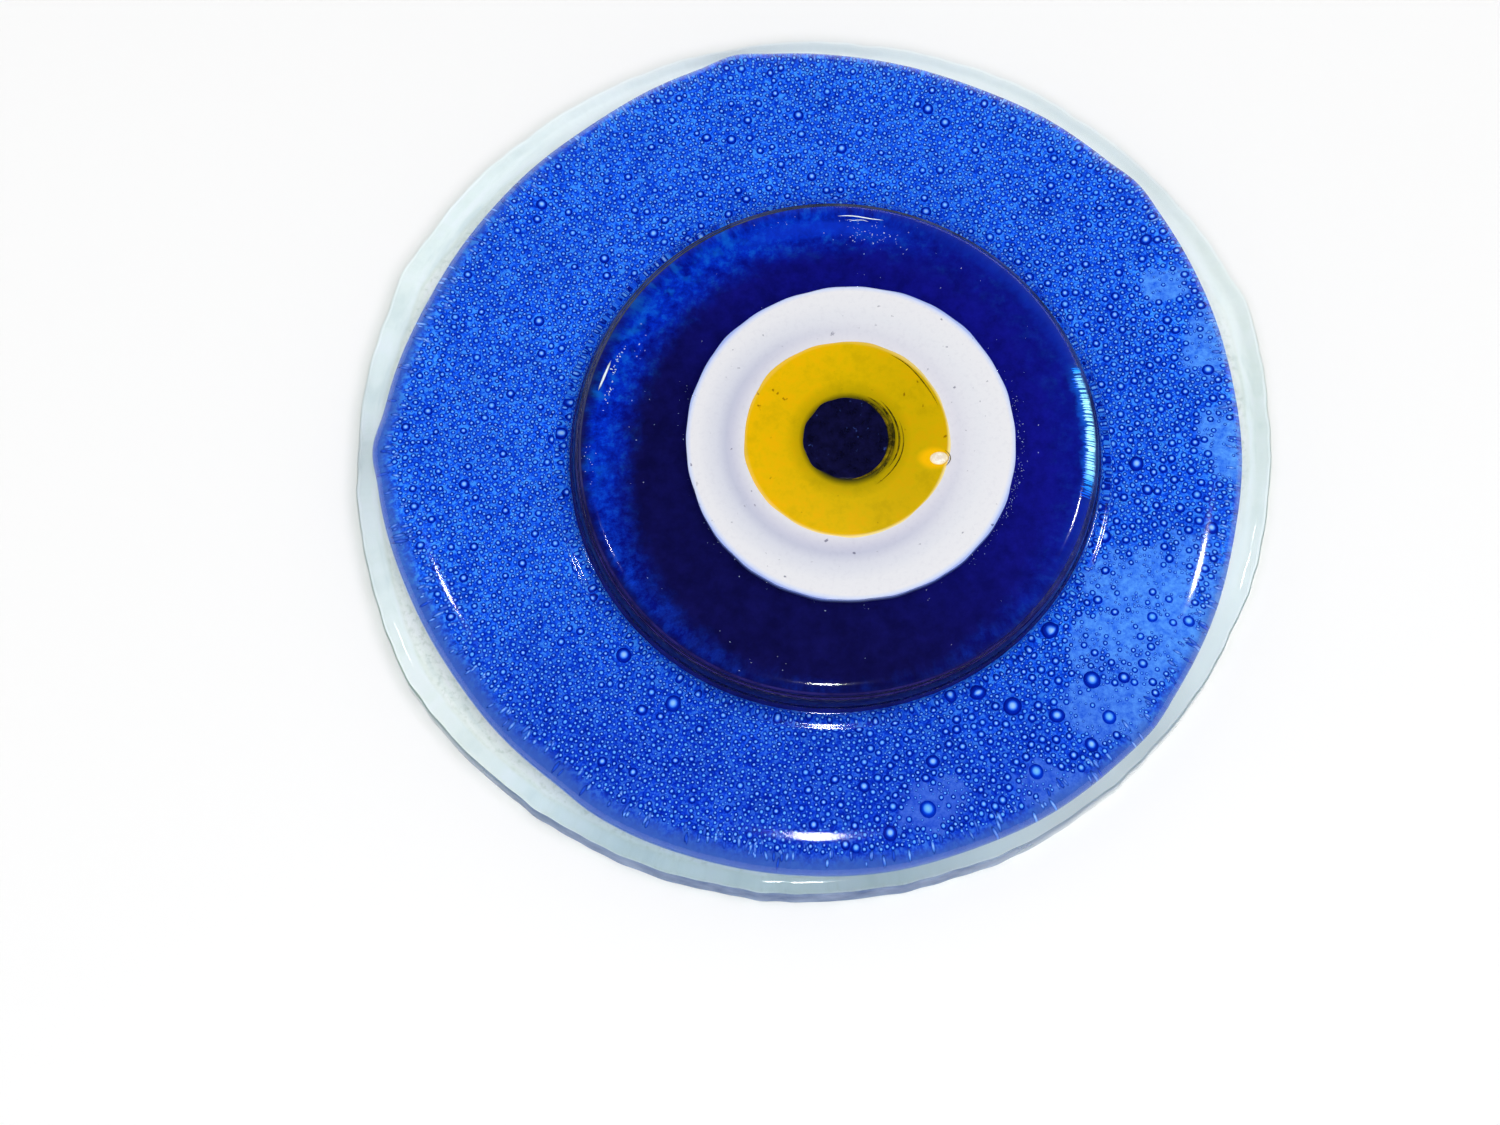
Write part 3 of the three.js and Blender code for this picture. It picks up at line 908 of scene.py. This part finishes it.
def tubes(name, paths, material, sides=6):
    """Fine strokes that taper at both ends, each along a path of x, y and z, with a half-width."""
    points, faces = [], []
    for path, fat in paths:
        first = len(points)
        ahead = np.gradient(path, axis=0)
        across = np.column_stack([-ahead[:, 1], ahead[:, 0], np.zeros(len(path))])
        across /= np.linalg.norm(across, axis=1)[:, None]
        taper = np.maximum(np.sin(np.linspace(0, math.pi, len(path))) ** 0.6, 0.05) * fat
        for spot, side_way, half in zip(path, across, taper):
            for side in range(sides):
                turn = TAU * side / sides
                lift = (0, 0, 0.6 * half * math.sin(turn))
                points.append(spot + half * math.cos(turn) * side_way + lift)
        last = len(points) - sides
        for low in range(first, last, sides):
            faces += band(low, low + sides, sides)
        faces.append(tuple(first + i for i in range(sides - 1, -1, -1)))
        faces.append(tuple(last + i for i in range(sides)))
    return new_piece(name, points, faces, [material])


def arc(cx, cy, radius, start, end, fat, lift):
    """Path on the bead's dome, about a middle in mm, between two angles in degrees."""
    turn = np.radians(np.linspace(start, end, ARC_POINTS))
    reach = radius + 0.06 * np.sin(7 * np.linspace(0, 1, ARC_POINTS) + 9 * radius)
    x, y = (cx + reach * np.cos(turn)) * MM, (cy + reach * np.sin(turn)) * MM
    return np.column_stack([x, y, bead_height(x, y) + lift * MM]), fat * MM


def eye_marks():
    """Folds in the yellow beside the pupil, and a seed bubble that broke open at the iris's edge."""
    n = Nodes("fold_shadow")
    tone = n.ramp(n.noise(900.0, 4.0, 0.7), [(0.4, (0.03, 0.025, 0.004)), (0.65, (0.28, 0.20, 0.004))])
    shadow = n.matt_surface(tone)
    x, y = (c / MM for c in pupil.centre)
    folds = [
        (x, y, 4.75, -82, 75, 0.2), (x + 0.1, y, 5.1, -60, 64, 0.15), (x + 0.2, y, 5.5, -38, 50, 0.1),
        (x + 0.2, y - 0.1, 5.95, -60, 20, 0.06), (x - 0.2, y, 10.7, 20, 62, 0.06),
        (*SEED, 1.18, -50, 55, 0.05),
    ]
    n = Nodes("seed_bubble")
    mottle = n.ramp(n.noise(1500.0, 4.0, 0.7), [(0.4, (0.80, 0.72, 0.62)), (0.6, (1, 1, 1))])
    skin = n.ramp(n.attribute("rim"), [
        (0.0, (0.93, 0.88, 0.82)), (0.5, (0.98, 0.95, 0.88)), (0.82, (0.95, 0.85, 0.60)),
        (1.0, (0.90, 0.55, 0.05)),
    ])
    x, y = (c * MM for c in SEED)
    height = float(bead_height(x, y)) + 0.05 * MM
    return [tubes("eye_folds", [arc(*fold, 0.12) for fold in folds], shadow),
            domes("iris_seed_bubble", [(x, y, 0.78 * MM, 1.4, 0.1, 0.0)], 24, 6, 0.15, height,
                  n.matt_surface(n.times(skin, mottle)))]


def specks_about(outline, groups):
    """Rows for domes: round and drawn-out specks in groups about a disc's edge."""
    rows = []
    for degrees, spread, out, deep, count, largest in groups:
        angle = np.radians(degrees + rng.normal(0, spread, count))
        x, y = outline.at(angle, outline.radius(angle) + (out + rng.normal(0, deep, count)) * MM)
        turned = angle + np.where(rng.uniform(0, 1, count) < 0.6, 0, math.pi / 2)
        r = rng.uniform(0.4, 1.0, count) * largest * MM
        stretch = 1 + 2 * rng.uniform(0, 1, count) ** 3
        rows += list(zip(x, y, r, stretch, turned, rng.uniform(0, 1, count)))
    return rows


def bead_specks():
    """Tiny seed bubbles and glints just under the bead's skin, a drawn-out painted highlight at its upper
    left, and painted highlights in two fine arcs near its far edge.
    """
    n = Nodes("seed_speck_and_glint")
    tone = n.blend(n.attribute("faint"), (0.82, 0.94, 1.0), (0.36, 0.58, 1.0))
    rows = specks_about(bead, BEAD_SPECKS) + specks_about(white, WHITE_SPECKS)
    rows = [row for row in rows if white.margin(np.array(row[0]), np.array(row[1]))[0] < -0.15 * MM]
    # A drawn-out painted highlight: a lamp mirrored on a small ridge.
    x, y = bead.at(math.radians(162.7), BEAD_RADIUS - 2.2 * MM)
    rows.append((x, y, 0.15 * MM, 12.5, math.radians(69), 0.0))
    skin = n.matt_surface(tone)
    x, y, radius = bead.centre.x / MM, bead.centre.y / MM, BEAD_RADIUS / MM
    # Painted highlights: two fine pale arcs near the bead's far edge.
    glint = [(x, y, radius - 2.1, 78.5, 89.5, 0.07), (x, y, radius - 2.5, 82, 87, 0.04)]
    return [domes("bead_specks", rows, 8, 2, 0.5, bead_height, skin),
            tubes("bead_glint", [arc(*line, 0.06) for line in glint], skin)]


def rim_glints():
    """Light gathered at the bead's right edge, in fine strokes that point outwards on its upper round."""
    n = Nodes("rim_glints")
    out = n.towards(bead.centre)
    grain = n.ramp(n.noise(700.0, 3.0, 0.7), [(0.35, (0.45, 0.70, 0.95)), (0.6, (1, 1, 1))])
    along = n.ramp(n.lobe(out, 4.5, 18), [
        (0.0, (0.005, 0.06, 0.60)), (0.5, (0.03, 0.36, 1.0)), (1.0, (0.45, 0.95, 1.0)),
    ])
    inner = n.smooth(n.distance_from(bead.centre), BEAD_RADIUS - 1.75 * MM, BEAD_RADIUS - 1.15 * MM)
    colour = n.times(n.blend(inner, (0.004, 0.10, 0.85), along), grain)
    body = n.matt(colour)
    n.link(colour, body.inputs["Emission Color"])
    body.inputs["Emission Strength"].default_value = 0.45
    width, rise = BEAD_UPPER_ROUND
    paths = []
    for degrees in np.arange(-13, 19, 0.38):
        angle = math.radians(degrees + rng.normal(0, 0.12))
        ends = -rng.uniform(1.3, 1.9), -rng.uniform(0.3, 0.5)
        fat = rng.uniform(0.06, 0.115) * MM
        if rng.uniform() < 0.15:
            continue
        inset = np.linspace(*ends, 7) * MM
        x, y = bead.at(angle, bead.radius(angle) + inset)
        z = BEAD_SHOULDER - rise * (1 - np.sqrt(1 - (1 + inset / width) ** 2))
        paths.append((np.column_stack([x, y, z]), fat))
    return tubes("bead_rim_glints", paths, n.surface(body.outputs[0]))


# ---- build ----
pieces = [
    (clear_base(), "clear_glass", "clear_base_disc"),
    (blue_sheet(), "blue_glass", "blue_bubble_disc"),
    (cobalt_glass(), "cobalt_glass", "cobalt_bead"),
    (inlay("white_glass", white, WHITE_FLOOR, 0.04 * MM, white_colour), "white_glass", "white_disc"),
    (inlay("yellow_glass", iris, IRIS_FLOOR, 0.08 * MM, yellow_colour), "yellow_glass", "yellow_iris"),
    (inlay("pupil_glass", pupil, PUPIL_FLOOR, 0.12 * MM, pupil_colour), "pupil_glass", "pupil"),
    (bed(), "blue_glass", None),
    (core(), "cobalt_glass", None),
    *((piece, "cobalt_glass", None) for piece in creases()),
    (foot(), "cobalt_glass", None),
    *((piece, "blue_glass", None) for piece in bubble_pieces()),
    *((piece, "yellow_glass", None) for piece in eye_marks()),
    *((piece, "cobalt_glass", None) for piece in bead_specks()),
    (rim_glints(), "cobalt_glass", None),
]
for piece, slot, node in pieces:
    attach(piece, "root")
    if node:
        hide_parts(node)


# ---- floor, light and camera ----
def floor():
    n = Nodes("floor_paper")
    colour = n.ramp(n.noise(3.0, 2.0), [(0.3, (0.90, 0.90, 0.90)), (0.7, (0.93, 0.93, 0.93))])
    body = n.add("ShaderNodeBsdfPrincipled", {
        "Base Color": colour, "Roughness": 0.9, "Specular IOR Level": 0.1,
    })
    reach = 3.0
    corners = [(x * reach, y * reach, -0.1 * MM) for x, y in ((-1, -1), (1, -1), (1, 1), (-1, 1))]
    new_piece("floor", corners, [(0, 1, 2, 3)], [n.surface(body.outputs[0])])


def sky():
    """Even pale light.  Mirrored rays see a darker ceiling, so the glass keeps its depth."""
    n = Nodes("studio", world=True)
    path = n.add("ShaderNodeLightPath").outputs
    plain = n.maths("MAXIMUM", path["Is Transmission Ray"], path["Is Camera Ray"])
    seen = n.maths("MULTIPLY_ADD", plain, 0.65, 0.35)
    pale = n.add("ShaderNodeBackground", {"Color": (1, 1, 1, 1), "Strength": seen})
    place = n.add("ShaderNodeTexCoord").outputs["Generated"]
    up = n.add("ShaderNodeSeparateXYZ", {"Vector": place}).outputs["Z"]
    ceiling = n.ramp(up, [(0.1, (0.15, 0.15, 0.15)), (0.75, (0.004, 0.004, 0.004))])
    mirrored = n.add("ShaderNodeBackground", {"Color": ceiling})
    shaders = {0: path["Is Glossy Ray"], 1: pale.outputs[0], 2: mirrored.outputs[0]}
    bpy.context.scene.world = n.surface(n.add("ShaderNodeMixShader", shaders).outputs[0])


def lamp(name, azimuth, elevation, distance, size, watts, mirrored):
    """A lamp aimed at the ornament, size wide and high."""
    light = bpy.data.lights.new(name, "AREA")
    light.shape = "ELLIPSE"
    light.size, light.size_y = size
    light.energy = watts
    piece = bpy.data.objects.new(name, light)
    a, e = math.radians(azimuth), math.radians(elevation)
    direction = Vector((math.sin(a) * math.cos(e), -math.cos(a) * math.cos(e), math.sin(e)))
    piece.location = distance * direction
    piece.rotation_euler = piece.location.to_track_quat("Z", "Y").to_euler()
    piece.visible_glossy = mirrored
    piece.visible_diffuse = not mirrored
    piece.visible_transmission = False
    bpy.context.scene.collection.objects.link(piece)


def look_from(elevation, distance):
    """The camera, on the -Y side, aimed a little above the ornament's underside.

    It is shifted so that the ornament stands left of and above the middle of the frame."""
    data = bpy.data.cameras.new("camera")
    data.lens = 85
    data.sensor_width = 36
    data.shift_x = -0.043
    data.shift_y = -0.072
    camera = bpy.data.objects.new("camera", data)
    aim = Vector((0, 0, 3 * MM))
    camera.location = aim + distance * Vector((0, -math.cos(elevation), math.sin(elevation)))
    camera.rotation_euler = (camera.location - aim).to_track_quat("Z", "Y").to_euler()
    bpy.context.scene.collection.objects.link(camera)
    bpy.context.scene.camera = camera


floor()
sky()
for name, setting in LAMPS.items():
    lamp(name, *setting)
look_from(math.radians(CAMERA_ELEVATION), CAMERA_DISTANCE)

scene = bpy.context.scene
scene.view_settings.view_transform = "Standard"
scene.cycles.caustics_refractive = False
scene.cycles.caustics_reflective = False
